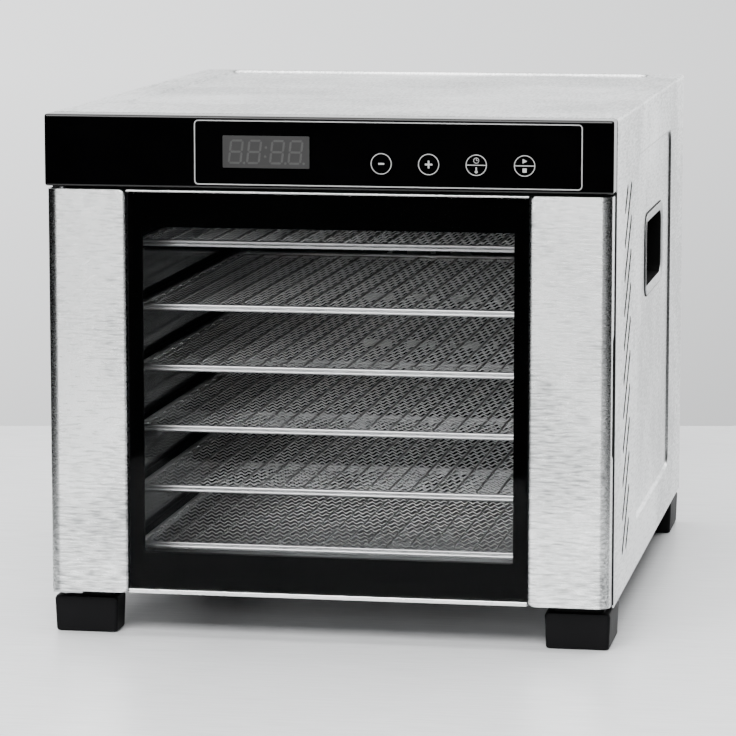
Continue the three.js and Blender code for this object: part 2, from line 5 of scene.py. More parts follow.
import bmesh
import bpy
import numpy as np
from mathutils import Euler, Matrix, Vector


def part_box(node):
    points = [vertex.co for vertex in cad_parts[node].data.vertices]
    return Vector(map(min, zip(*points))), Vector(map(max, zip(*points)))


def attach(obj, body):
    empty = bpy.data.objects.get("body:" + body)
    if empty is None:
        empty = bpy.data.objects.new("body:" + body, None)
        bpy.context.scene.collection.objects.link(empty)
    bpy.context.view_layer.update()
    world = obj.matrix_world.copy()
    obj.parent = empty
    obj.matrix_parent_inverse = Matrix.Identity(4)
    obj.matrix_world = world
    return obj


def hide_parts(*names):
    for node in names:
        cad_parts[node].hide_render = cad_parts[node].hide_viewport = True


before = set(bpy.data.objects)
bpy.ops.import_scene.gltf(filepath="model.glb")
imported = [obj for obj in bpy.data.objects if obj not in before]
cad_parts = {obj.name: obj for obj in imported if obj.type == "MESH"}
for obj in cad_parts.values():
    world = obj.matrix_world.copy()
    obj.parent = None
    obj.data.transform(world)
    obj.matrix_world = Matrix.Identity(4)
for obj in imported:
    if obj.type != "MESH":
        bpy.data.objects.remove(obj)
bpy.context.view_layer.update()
MM = 0.001
TRAYS = [f"tray_{number}" for number in range(1, 7)]


# ---------------------------------------------------------------- mesh helpers
def outward(mesh):
    """Turns all the faces of a closed mesh outwards."""
    work = bmesh.new()
    work.from_mesh(mesh)
    bmesh.ops.recalc_face_normals(work, faces=work.faces)
    work.to_mesh(mesh)
    work.free()
    return mesh


def make_object(name, mesh, body, material, replaced=(), sharp=30):
    """Links the mesh as a piece that rides on a body, with its normals smooth below the sharp angle."""
    outward(mesh)
    for polygon in mesh.polygons:
        polygon.use_smooth = True
    mesh.set_sharp_from_angle(angle=math.radians(sharp))
    mesh.materials.append(material)
    piece = bpy.data.objects.new(name, mesh)
    bpy.context.scene.collection.objects.link(piece)
    piece.modifiers.new("flat_faces_stay_flat", "WEIGHTED_NORMAL").keep_sharp = True
    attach(piece, body)
    if replaced:
        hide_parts(*replaced)
    return piece


def mesh_of(name, points, faces):
    mesh = bpy.data.meshes.new(name)
    mesh.from_pydata([tuple(p) for p in points], [], faces)
    return mesh


def place(axis, a, b, c):
    """A point whose coordinate along the axis is c and whose other two, in x, y, z order, are a and b."""
    return {"x": (c, a, b), "y": (a, c, b), "z": (a, b, c)}[axis]


def rounded(a0, a1, b0, b1, radius, steps=5):
    """A rounded rectangle as a loop; one step a corner gives a chamfered rectangle."""
    loop = []
    corners = (
        (a1 - radius, b0 + radius, -90), (a1 - radius, b1 - radius, 0),
        (a0 + radius, b1 - radius, 90), (a0 + radius, b0 + radius, 180),
    )
    for ca, cb, start in corners:
        for step in range(steps + 1):
            turn = math.radians(start + 90 * step / steps)
            loop.append((ca + radius * math.cos(turn), cb + radius * math.sin(turn)))
    return loop


def grown(outline, by):
    a0, a1, b0, b1 = outline
    return a0 - by, a1 + by, b0 - by, b1 + by


def circle_loop(loop, centre, radius):
    """A circle with one point in the direction of each point of the loop."""
    points = []
    for a, b in loop:
        turn = math.atan2(b - centre[1], a - centre[0])
        points.append((centre[0] + radius * math.cos(turn), centre[1] + radius * math.sin(turn)))
    return points


def loft(name, rings, caps=True, closed=False):
    """Joins rings of equal length by quads.

    Caps close the ends, and closed joins the last ring to the first.
    """
    count = len(rings[0])
    points = [point for ring in rings for point in ring]
    faces = []
    spans = len(rings) if closed else len(rings) - 1
    for i in range(spans):
        near = i * count
        far = ((i + 1) % len(rings)) * count
        for j in range(count):
            k = (j + 1) % count
            faces.append((near + j, near + k, far + k, far + j))
    if caps and not closed:
        faces.append(tuple(range(count)))
        faces.append(tuple(range(len(points) - count, len(points))))
    return mesh_of(name, points, faces)


def fillet_steps(radius, steps=4):
    """Pairs of (inset, height) along a quarter round, from the flat face to the side."""
    pairs = []
    for step in range(steps + 1):
        turn = math.radians(90 * step / steps)
        pairs.append((radius * (1 - math.sin(turn)), radius * (1 - math.cos(turn))))
    return pairs


def plate(name, axis, outline, low, high, radius, low_fillet=0.0, high_fillet=0.0, steps=5):
    """A rounded plate with a fillet round each of its two faces."""
    sections = []
    if low_fillet:
        sections += [(inset, low + rise) for inset, rise in fillet_steps(low_fillet)]
    else:
        sections.append((0.0, low))
    if high_fillet:
        sections += [(inset, high - rise) for inset, rise in reversed(fillet_steps(high_fillet))]
    else:
        sections.append((0.0, high))
    rings = []
    for inset, height in sections:
        loop = rounded(*grown(outline, -inset), max(radius - inset, radius * 0.2), steps)
        rings.append([place(axis, a, b, height) for a, b in loop])
    return loft(name, rings)


def band(name, axis, sections, steps=5):
    """A closed ring whose section is a list of (outline, corner radius, height)."""
    rings = []
    for outline, radius, height in sections:
        rings.append([place(axis, a, b, height) for a, b in rounded(*outline, radius, steps)])
    return loft(name, rings, closed=True)


def join(name, meshes):
    """One mesh from several."""
    work = bmesh.new()
    for mesh in meshes:
        work.from_mesh(mesh)
    result = bpy.data.meshes.new(name)
    work.to_mesh(result)
    work.free()
    return result


def mirrored(mesh, name):
    copy = mesh.copy()
    copy.name = name
    for vertex in copy.vertices:
        vertex.co.x = -vertex.co.x
    copy.flip_normals()
    return copy


def carve(mesh, cutter):
    """The mesh with the cutter's solid removed."""
    target = bpy.data.objects.new("carve_target", mesh)
    tool = bpy.data.objects.new("carve_tool", cutter)
    for thing in (target, tool):
        bpy.context.scene.collection.objects.link(thing)
    boolean = target.modifiers.new("cut", "BOOLEAN")
    boolean.object = tool
    boolean.operation = "DIFFERENCE"
    boolean.solver = "EXACT"
    result = bpy.data.meshes.new_from_object(target.evaluated_get(bpy.context.evaluated_depsgraph_get()))
    for thing in (target, tool):
        bpy.data.objects.remove(thing)
    return result


def bevel_node(name, width, segments=2):
    """Rounds the edges of a CAD node that stays."""
    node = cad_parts[name]
    modifier = node.modifiers.new("edge", "BEVEL")
    modifier.width = width
    modifier.segments = segments
    modifier.limit_method = "ANGLE"
    modifier.angle_limit = math.radians(40)
    modifier.harden_normals = True
    for polygon in node.data.polygons:
        polygon.use_smooth = True
    node.data.set_sharp_from_angle(angle=math.radians(35))


# ---------------------------------------------------------------- materials
def new_material(name):
    material = bpy.data.materials.new(name)
    material.use_nodes = True
    nodes = material.node_tree.nodes
    return material, nodes, material.node_tree.links, nodes["Principled BSDF"]


def noise(nodes, links, scale, stretch=(1, 1, 1), detail=4.0, roughness=0.6):
    """Noise in the object's own metres, stretched by the given factors."""
    coordinates = nodes.new("ShaderNodeTexCoord")
    mapping = nodes.new("ShaderNodeMapping")
    mapping.inputs["Scale"].default_value = stretch
    texture = nodes.new("ShaderNodeTexNoise")
    texture.inputs["Scale"].default_value = scale
    texture.inputs["Detail"].default_value = detail
    texture.inputs["Roughness"].default_value = roughness
    links.new(coordinates.outputs["Object"], mapping.inputs["Vector"])
    links.new(mapping.outputs["Vector"], texture.inputs["Vector"])
    return texture.outputs["Fac"]


def spread(nodes, links, value, low, high, start=0.3, end=0.7):
    """Maps a 0 to 1 pattern onto a range."""
    node = nodes.new("ShaderNodeMapRange")
    node.inputs["From Min"].default_value = start
    node.inputs["From Max"].default_value = end
    node.inputs["To Min"].default_value = low
    node.inputs["To Max"].default_value = high
    links.new(value, node.inputs["Value"])
    return node.outputs["Result"]


def tint(nodes, links, value, dark, light, start=0.3, end=0.7):
    ramp = nodes.new("ShaderNodeValToRGB")
    ramp.color_ramp.elements[0].position = start
    ramp.color_ramp.elements[1].position = end
    ramp.color_ramp.elements[0].color = (*dark, 1)
    ramp.color_ramp.elements[1].color = (*light, 1)
    links.new(value, ramp.inputs["Fac"])
    return ramp.outputs["Color"]


def bump(nodes, links, value, strength, distance):
    node = nodes.new("ShaderNodeBump")
    node.inputs["Strength"].default_value = strength
    node.inputs["Distance"].default_value = distance
    links.new(value, node.inputs["Height"])
    return node.outputs["Normal"]


def brushed_steel(name, along, dark, light, rough=(0.3, 0.42), strength=0.25):
    """Stainless steel with short fine scratches along one axis."""
    material, nodes, links, shader = new_material(name)
    stretch = [760.0, 760.0, 760.0]
    stretch["xyz".index(along)] = 95.0
    grain = noise(nodes, links, 1.0, stretch, detail=3.0)
    cloud = noise(nodes, links, 9.0, detail=2.0)
    mix = nodes.new("ShaderNodeMath")
    mix.operation = "MULTIPLY_ADD"
    mix.inputs[1].default_value = 0.75
    links.new(grain, mix.inputs[0])
    quiet = spread(nodes, links, cloud, 0.0, 0.25)
    links.new(quiet, mix.inputs[2])
    shader.inputs["Metallic"].default_value = 1.0
    links.new(tint(nodes, links, mix.outputs[0], dark, light, 0.36, 0.64), shader.inputs["Base Color"])
    links.new(spread(nodes, links, mix.outputs[0], rough[1], rough[0]), shader.inputs["Roughness"])
    links.new(bump(nodes, links, grain, strength, 0.00004), shader.inputs["Normal"])
    return material


def satin_plastic(name, color, rough, grain_scale=2500.0, strength=0.15, specular=0.5):
    """Moulded plastic or rubber with a very fine texture and a faint mottling."""
    material, nodes, links, shader = new_material(name)
    fine = noise(nodes, links, grain_scale, detail=2.0)
    cloud = noise(nodes, links, 30.0, detail=3.0)
    light = tuple(c * 1.6 for c in color)
    shader.inputs["Specular IOR Level"].default_value = specular
    links.new(tint(nodes, links, cloud, color, light), shader.inputs["Base Color"])
    links.new(spread(nodes, links, cloud, rough - 0.05, rough + 0.08), shader.inputs["Roughness"])
    links.new(bump(nodes, links, fine, strength, 0.00005), shader.inputs["Normal"])
    return material


def gloss_black():
    material, nodes, links, shader = new_material("gloss_black")
    cloud = noise(nodes, links, 40.0, detail=3.0)
    links.new(tint(nodes, links, cloud, (0.0003, 0.0003, 0.0004), (0.0006, 0.0006, 0.0007)),
              shader.inputs["Base Color"])
    links.new(spread(nodes, links, cloud, 0.03, 0.06), shader.inputs["Roughness"])
    shader.inputs["IOR"].default_value = 1.4
    return material


def plated(name, dark, light, rough=(0.3, 0.5)):
    """Plain plated or rolled metal with a soft mottling."""
    material, nodes, links, shader = new_material(name)
    cloud = noise(nodes, links, 60.0, detail=5.0)
    fine = noise(nodes, links, 900.0, detail=2.0)
    shader.inputs["Metallic"].default_value = 1.0
    links.new(tint(nodes, links, cloud, dark, light), shader.inputs["Base Color"])
    links.new(spread(nodes, links, cloud, rough[0], rough[1]), shader.inputs["Roughness"])
    links.new(bump(nodes, links, fine, 0.1, 0.00004), shader.inputs["Normal"])
    return material


def wire_steel():
    """Bright drawn wire: its marks are too fine to show, so its finish varies only from place to place."""
    material, nodes, links, shader = new_material("wire_steel")
    cloud = noise(nodes, links, 120.0, detail=2.0)
    shader.inputs["Metallic"].default_value = 1.0
    links.new(tint(nodes, links, cloud, (0.88, 0.89, 0.90), (0.96, 0.97, 0.98)), shader.inputs["Base Color"])
    shader.inputs["Roughness"].default_value = 0.3
    return material


def door_glass_material():
    """Tinted pane: mostly clear, with the mirror of its front face."""
    material, nodes, links, shader = new_material("door_glass")
    smear = noise(nodes, links, 14.0, detail=2.0)
    links.new(tint(nodes, links, smear, (0.0006, 0.0007, 0.0008), (0.0012, 0.0013, 0.0014)),
              shader.inputs["Base Color"])
    shader.inputs["Roughness"].default_value = 0.02
    shader.inputs["IOR"].default_value = 1.24
    shader.inputs["Alpha"].default_value = 0.22
    return material


def print_ink(name, level, specular=0.5):
    """Silk-screened ink with a faint unevenness."""
    material, nodes, links, shader = new_material(name)
    cloud = noise(nodes, links, 300.0, detail=2.0)
    dark = (level * 0.85,) * 3
    light = (level,) * 3
    links.new(tint(nodes, links, cloud, dark, light), shader.inputs["Base Color"])
    shader.inputs["Roughness"].default_value = 0.45
    shader.inputs["Specular IOR Level"].default_value = specular
    return material


def anisotropic(material, amount):
    """Stretches the highlights of a vertical face upwards and downwards, as scratches along x do."""
    shader = material.node_tree.nodes["Principled BSDF"]
    shader.inputs["Anisotropic"].default_value = amount
    shader.inputs["Anisotropic Rotation"].default_value = 0.25


STEEL_X = brushed_steel(
    "brushed_steel_across", "x", (0.26, 0.27, 0.27), (0.97, 0.98, 0.98), rough=(0.22, 0.34), strength=0.6)
anisotropic(STEEL_X, 0.9)
STEEL_Y = brushed_steel("brushed_steel_deep", "y", (0.52, 0.53, 0.53), (0.95, 0.96, 0.96), rough=(0.30, 0.40))
STEEL_TRIM = brushed_steel("steel_trim", "x", (0.70, 0.71, 0.71), (0.9, 0.9, 0.9), rough=(0.2, 0.3))
# The bezel's steel is darker than the case's: painted shade on its slope.
STEEL_BEZEL_SHADED = brushed_steel("steel_bezel_painted_shade", "y", (0.36, 0.37, 0.37), (0.52, 0.53, 0.53), rough=(0.3, 0.4))
GLOSS = gloss_black()
BLACK = satin_plastic("satin_black", (0.004, 0.004, 0.0045), 0.45, specular=0.25)
# Black plastic made darker still and nearly without sheen: painted shade for the deep grip cups and their
# gaskets, and inside the louvre slots.
SHADE_BLACK = satin_plastic("painted_shade_black", (0.0015, 0.0015, 0.0016), 0.6, specular=0.06)
FOOT_BLACK = satin_plastic(
    "foot_black", (0.0022, 0.0022, 0.0025), 0.55, grain_scale=1600.0, strength=0.25, specular=0.08)
SEAL_BLACK = satin_plastic("seal_black", (0.012, 0.012, 0.012), 0.7)
# The chamber's black coating, also put on the motor plate as painted shade.
CHAMBER_BLACK_AND_SHADE = satin_plastic("chamber_coating_and_painted_shade", (0.004, 0.004, 0.0045), 0.5, specular=0.3)
RACK_STEEL = plated("rack_wall_steel", (0.20, 0.21, 0.21), (0.28, 0.29, 0.29), rough=(0.08, 0.12))
# Near-black metal for the base plate in place of its zinc: painted shade, darkening the shadow under the
# case.
BASE_PLATE_SHADE = plated("base_plate_painted_shade", (0.06, 0.06, 0.065), (0.1, 0.1, 0.105))
ZINC = plated("zinc_plate", (0.42, 0.43, 0.44), (0.58, 0.59, 0.6))
FLOOR_STEEL = plated("chamber_floor_steel", (0.6, 0.61, 0.62), (0.75, 0.76, 0.77))
ALUMINIUM = plated("fan_aluminium", (0.6, 0.61, 0.62), (0.75, 0.76, 0.77))
HEATER = plated("heater_sheath", (0.10, 0.09, 0.08), (0.2, 0.18, 0.16))
CERAMIC = satin_plastic("steatite", (0.55, 0.53, 0.48), 0.7)
BOARD = satin_plastic("circuit_board", (0.02, 0.1, 0.05), 0.5)
WIRE = wire_steel()
GLASS = door_glass_material()
INK = print_ink("panel_print", 0.42)
DIM_INK = print_ink("unlit_segments", 0.035)
BORDER_INK = print_ink("glass_border_ink", 0.0004, specular=0.005)


# ---------------------------------------------------------------- case
SHEET = 0.8 * MM
WRAP_LOW, WRAP_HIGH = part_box("outer_wrap")
WRAP_BEND = 2.2 * MM
BEND_STEPS = 5
PANEL_DEPTH = 1.6 * MM
TOP_PANEL = (-0.147, 0.147, -0.125, 0.213)
SIDE_PANEL = (-0.080, 0.132, 0.055, 0.283)
PANEL_RADIUS = 9 * MM
PANEL_SLOPE = 2.0 * MM


def distance_to(outline, radius, a, b):
    """Signed distance of points to a rounded rectangle, negative inside."""
    a0, a1, b0, b1 = outline
    qa = np.abs(a - (a0 + a1) / 2) - (a1 - a0) / 2 + radius
    qb = np.abs(b - (b0 + b1) / 2) - (b1 - b0) / 2 + radius
    outside = np.hypot(np.maximum(qa, 0), np.maximum(qb, 0))
    return outside + np.minimum(np.maximum(qa, qb), 0) - radius


def sunken(outline, a, b):
    """How far the stamped panel lies below the sheet's face."""
    share = np.clip((PANEL_SLOPE / 2 - distance_to(outline, PANEL_RADIUS, a, b)) / PANEL_SLOPE, 0, 1)
    return PANEL_DEPTH * share * share * (3 - 2 * share)


def lines(low, high, step, borders):
    """Grid lines from low to high, closer together near each panel border."""
    values = list(np.arange(low, high, step)) + [high]
    for border in borders:
        values += list(np.arange(border - 4 * MM, border + 4 * MM, 0.5 * MM))
        values += list(np.arange(border - 12 * MM, border + 12 * MM, 1.5 * MM))
    values = sorted(v for v in values if low <= v <= high)
    kept = [values[0]]
    for value in values[1:]:
        if value - kept[-1] > 0.3 * MM:
            kept.append(value)
    kept[-1] = high
    return kept


def fold(centre_x, centre_z, start):
    """Points between the ends of a quarter bend of the sheet, each with its outward normal."""
    points = []
    for step in range(1, BEND_STEPS):
        turn = math.radians(start - 90 * step / BEND_STEPS)
        nx, nz = math.cos(turn), math.sin(turn)
        points.append((centre_x + WRAP_BEND * nx, centre_z + WRAP_BEND * nz, nx, nz))
    return points


def wrap_profile():
    """Points of the folded sheet from the left bottom edge over the top, each with its outward normal."""
    half, top, bottom = WRAP_HIGH.x, WRAP_HIGH.z, WRAP_LOW.z
    heights = lines(bottom, top - WRAP_BEND, 8 * MM, SIDE_PANEL[2:])
    across = lines(-half + WRAP_BEND, half - WRAP_BEND, 8 * MM, TOP_PANEL[:2])
    points = [(-half, z, -1.0, 0.0) for z in heights]
    points += fold(-half + WRAP_BEND, top - WRAP_BEND, 180)
    points += [(x, top, 0.0, 1.0) for x in across]
    points += fold(half - WRAP_BEND, top - WRAP_BEND, 90)
    points += [(half, z, 1.0, 0.0) for z in reversed(heights)]
    return np.array(points)


def wrap_sheet():
    profile = wrap_profile()
    depths = np.array(lines(WRAP_LOW.y, WRAP_HIGH.y, 8 * MM, [*TOP_PANEL[2:], *SIDE_PANEL[:2]]))
    x, z, nx, nz = [np.repeat(profile[:, i:i + 1], len(depths), axis=1) for i in range(4)]
    y = np.repeat(depths[None, :], len(profile), axis=0)
    sink = np.where(nz > 0.99, sunken(TOP_PANEL, x, y), 0.0)
    sink = np.where(np.abs(nx) > 0.99, sunken(SIDE_PANEL, y, z), sink)
    outer = np.stack([x - nx * sink, y, z - nz * sink], axis=-1).reshape(-1, 3)
    inner = outer - np.stack([nx, np.zeros_like(nx), nz], axis=-1).reshape(-1, 3) * SHEET
    rows, columns = len(profile), len(depths)
    index = np.arange(rows * columns).reshape(rows, columns)
    corners = [index[:-1, :-1], index[:-1, 1:], index[1:, 1:], index[1:, :-1]]
    quads = np.stack(corners, axis=-1).reshape(-1, 4)
    border = np.concatenate([index[:, 0], index[-1, 1:], index[-2::-1, -1], index[0, -2:0:-1]])
    shift = rows * columns
    rim = [(int(a), int(b), int(b + shift), int(a + shift)) for a, b in zip(border, np.roll(border, -1))]
    faces = quads.tolist() + (quads[:, ::-1] + shift).tolist() + rim
    return outward(mesh_of("outer_wrap_sheet", np.concatenate([outer, inner]).tolist(), faces))


LOUVRE_ZONE = (-0.1575, -0.1245, 0.0493, 0.2686)
LOUVRE_CENTRES = (0.0455, 0.2733)
LOUVRE_COUNT = 12
LOUVRE_WIDTH = 5.2 * MM


def clipped_slot(middle_y, middle_z, reach):
    """Ends of one slanting slot, cut off at the zone's top and bottom."""
    low = max(-reach, LOUVRE_ZONE[2] - middle_z)
    high = min(reach, LOUVRE_ZONE[3] - middle_z)
    return (middle_y + low, middle_z + low), (middle_y + high, middle_z + high)


def slot_loop(number, radius):
    """Outline of one slanting slot with round ends, rising towards the back."""
    y0, y1 = LOUVRE_ZONE[:2]
    first, last = LOUVRE_CENTRES
    middle_z = first + number * (last - first) / (LOUVRE_COUNT - 1)
    start, end = clipped_slot((y0 + y1) / 2, middle_z, (y1 - y0) / 2)
    loop = []
    for centre, begin in ((end, -45), (start, 135)):
        for step in range(7):
            turn = math.radians(begin + 180 * step / 6)
            loop.append((centre[0] + radius * math.cos(turn), centre[1] + radius * math.sin(turn)))
    return loop


def louvre_cutters():
    cutters = []
    for number in range(LOUVRE_COUNT):
        loop = slot_loop(number, LOUVRE_WIDTH / 2)
        for side in (-1, 1):
            levels = (side * (WRAP_HIGH.x - 6 * MM), side * (WRAP_HIGH.x + 6 * MM))
            cutters.append(loft("slot", [[place("x", a, b, level) for a, b in loop] for level in levels]))
    return cutters


def build_louvre_lips():
    """A turned-in lip in every slot, near black as painted shade inside the slot."""
    rings = []
    outer, inner = LOUVRE_WIDTH / 2 + 0.05 * MM, LOUVRE_WIDTH / 2 - 0.2 * MM
    face, deep = WRAP_HIGH.x + 0.03 * MM, WRAP_HIGH.x - 3.2 * MM
    for number in range(LOUVRE_COUNT):
        section = [(outer, face), (inner, face), (inner, deep), (outer, deep)]
        ring = [[place("x", a, b, level) for a, b in slot_loop(number, radius)] for radius, level in section]
        rings.append(loft("lip", ring, closed=True))
    right = join("louvre_lips", rings)
    make_object("louvre_lips_right", right, "case", SHADE_BLACK)
    make_object("louvre_lips_left", mirrored(right, "louvre_lips_left"), "case", SHADE_BLACK)


HANDLE = (-0.027, 0.083, 0.188, 0.241)
HANDLE_CORNER = 11 * MM


def handle_loop(inset, height):
    """The handle's outline, drawn in by an inset, as a ring of points at a distance from the middle."""
    corner = max(HANDLE_CORNER - inset * 0.6, 3 * MM)
    return [place("x", a, b, height) for a, b in rounded(*grown(HANDLE, -inset), corner, 3)]


def handle_cutters():
    cutters = []
    for side in (-1, 1):
        levels = (side * (WRAP_HIGH.x - 8 * MM), side * (WRAP_HIGH.x + 8 * MM))
        cutters.append(loft("grip", [handle_loop(2 * MM, level) for level in levels]))
    return cutters


def build_wrap():
    cutter = outward(join("wrap_cutter", louvre_cutters() + handle_cutters()))
    mesh = carve(wrap_sheet(), cutter)
    mesh.materials.clear()
    make_object("case_wrap", mesh, "case", STEEL_Y, ["outer_wrap"], sharp=35)


def build_handles():
    """A steel bezel, darker than the case's steel as painted shade, that dips towards a deep black cup,
    darkened and dulled further as painted shade, with a thin black gasket round it, on each side.
    """
    face = WRAP_HIGH.x - PANEL_DEPTH
    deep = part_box("handle_cup_right")[0].x
    bezel_section = [
        (0.5, 0.3), (0.5, 0.9), (0.9, 1.3), (1.4, 1.4), (5.6, 0.5), (6.0, 0.2), (3.4, 0.2), (3.4, 0.3)]
    cup_section = [
        (20.0, -26.6), (7.6, -26.6), (5.4, -25.6), (4.6, -23.0), (4.6, 0.15), (6.0, 0.15), (6.0, -23.0),
        (7.2, -24.4), (9.4, -24.9), (20.0, -24.9),
    ]
    gasket_section = [(-0.3, 0.05), (-0.3, 0.55), (0.7, 0.55), (0.7, 0.05)]
    bezel = loft(
        "bezel", [handle_loop(inset * MM, face + rise * MM) for inset, rise in bezel_section], closed=True)
    cup = join("cup_and_gasket", [
        loft("cup", [handle_loop(inset * MM, max(face + rise * MM, deep)) for inset, rise in cup_section]),
        loft("gasket", [handle_loop(inset * MM, face + rise * MM) for inset, rise in gasket_section],
             closed=True),
    ])
    for side, bezel_mesh, cup_mesh in (
        ("right", bezel, cup), ("left", mirrored(bezel, "bezel_left"), mirrored(cup, "cup_left")),
    ):
        make_object(f"grip_bezel_{side}", bezel_mesh, "case", STEEL_BEZEL_SHADED,
                    [f"handle_bezel_{side}"], sharp=25)
        make_object(f"grip_cup_{side}", cup_mesh, "case", SHADE_BLACK,
                    [f"handle_cup_{side}"])


# Millimetres: the outside as (inset, height) from the top down, the screw recess as (radius, height).
FOOT_OUTSIDE = (
    (4.0, 23.7), (4.0, 22.3), (2.4, 22.3), (0.7, 21.7), (0.0, 20.2), (0.7, 1.6), (1.1, 0.6), (2.2, 0.0))
FOOT_RECESS = ((6.0, 0.0), (6.0, 9.0), (3.2, 9.0), (3.2, 23.7))
FOOT = {"width": 39.3, "length": 50.0, "inner": 22.0, "taper": 16.0, "across": 18.0, "along": 29.0}


def foot_loop(side, end, low, high, inset):
    """The corner block's outline with rounded corners, drawn in by an inset."""
    i = inset
    width, length, inner = FOOT["width"], FOOT["length"], FOOT["inner"]
    corners = [
        (i, i), (width - i, i), (width - i, inner - i * 0.4), (width - FOOT["taper"] - i * 0.7, length - i),
        (i, length - i),
    ]
    loop = []
    for k, corner in enumerate(corners):
        here, before, after = Vector(corner), Vector(corners[k - 1]), Vector(corners[(k + 1) % len(corners)])
        start = here + (before - here).normalized() * 2.4
        stop = here + (after - here).normalized() * 2.4
        for step in range(5):
            t = step / 4
            loop.append(start * (1 - t) ** 2 + here * 2 * t * (1 - t) + stop * t * t)
    outer = high.x if side > 0 else low.x
    begin = low.y if end < 0 else high.y
    return [(outer - side * p.x * MM, begin - end * p.y * MM) for p in loop]


def build_feet():
    """Moulded corner feet, a little narrower at the floor, with a screw recess underneath."""
    for place_name, side, end in (
        ("front_left", -1, -1), ("front_right", 1, -1), ("rear_left", -1, 1), ("rear_right", 1, 1),
    ):
        low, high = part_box(f"foot_{place_name}")
        centre = ((high.x if side > 0 else low.x) - side * FOOT["across"] * MM,
                  (low.y if end < 0 else high.y) - end * FOOT["along"] * MM)
        rings = [[place("z", a, b, height * MM) for a, b in foot_loop(side, end, low, high, inset)]
                 for inset, height in FOOT_OUTSIDE]
        sole = foot_loop(side, end, low, high, FOOT_OUTSIDE[-1][0])
        for radius, height in FOOT_RECESS:
            rings.append([place("z", a, b, height * MM) for a, b in circle_loop(sole, centre, radius * MM)])
        make_object(f"{place_name}_foot", loft("foot", rings, closed=True), "case",
                    FOOT_BLACK, [f"foot_{place_name}"], sharp=35)


# ---------------------------------------------------------------- fascia
FASCIA_LOW, FASCIA_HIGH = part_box("control_fascia")
PANEL_FACE = FASCIA_LOW.y
OVERLAY_LOW, OVERLAY_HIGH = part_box("touch_overlay")
PRINT_RISE = 0.06 * MM


FASCIA_REVEAL = 1.2 * MM  # the recess that parts the fascia from the case
FASCIA_BODY = 14.5 * MM


def build_fascia():
    """A gloss block with rounded front edges and a stepped-in rear edge."""
    outline = (FASCIA_LOW.x, FASCIA_HIGH.x, FASCIA_LOW.z, FASCIA_HIGH.z)
    radius = 1.6 * MM
    body_end = FASCIA_LOW.y + FASCIA_BODY
    sections = [(inset, FASCIA_LOW.y + rise) for inset, rise in fillet_steps(1.5 * MM, 5)]
    sections += [(0.0, body_end), (FASCIA_REVEAL, body_end), (FASCIA_REVEAL, FASCIA_HIGH.y)]
    rings = []
    for inset, height in sections:
        loop = rounded(*grown(outline, -inset), max(radius - inset, 0.3 * MM), 4)
        rings.append([place("y", a, b, height) for a, b in loop])
    make_object("fascia_front", loft("fascia", rings), "case", GLOSS,
                ["control_fascia", "touch_overlay"], sharp=60)


def flat_print(name, outline_loop):
    """Ink of a given outline lying just proud of the panel's face."""
    levels = (PANEL_FACE, PANEL_FACE - PRINT_RISE)
    rings = [[place("y", a, b, level) for a, b in outline_loop] for level in levels]
    return loft(name, rings)


def stroke(start, end, width):
    """A straight pen stroke as a loop."""
    start, end = Vector(start), Vector(end)
    along = (end - start).normalized()
    aside = Vector((-along.y, along.x)) * (width / 2)
    return [tuple(start + aside), tuple(start - aside), tuple(end - aside), tuple(end + aside)]


def ring_print(name, centre, radius, width, count=48):
    rings = []
    for size, level in ((radius, PANEL_FACE), (radius, PANEL_FACE - PRINT_RISE),
                        (radius - width, PANEL_FACE - PRINT_RISE), (radius - width, PANEL_FACE)):
        rings.append([
            place("y", centre[0] + size * math.cos(2 * math.pi * i / count),
                  centre[1] + size * math.sin(2 * math.pi * i / count), level)
            for i in range(count)
        ])
    return loft(name, rings, closed=True)


def outline_print():
    """The thin silver line round the touch area."""
    outer = (OVERLAY_LOW.x, OVERLAY_HIGH.x, OVERLAY_LOW.z, OVERLAY_HIGH.z + 1.2 * MM)
    width = 0.55 * MM
    return band("touch_outline", "y", [
        (outer, 2.4 * MM, PANEL_FACE), (outer, 2.4 * MM, PANEL_FACE - PRINT_RISE),
        (grown(outer, -width), 2.4 * MM - width, PANEL_FACE - PRINT_RISE),
        (grown(outer, -width), 2.4 * MM - width, PANEL_FACE),
    ])


TOUCH_HEIGHT = 0.2881
TOUCH_RADIUS = 6.2 * MM
TOUCH_PLACES = (0.0333, 0.0614, 0.0895, 0.1179)


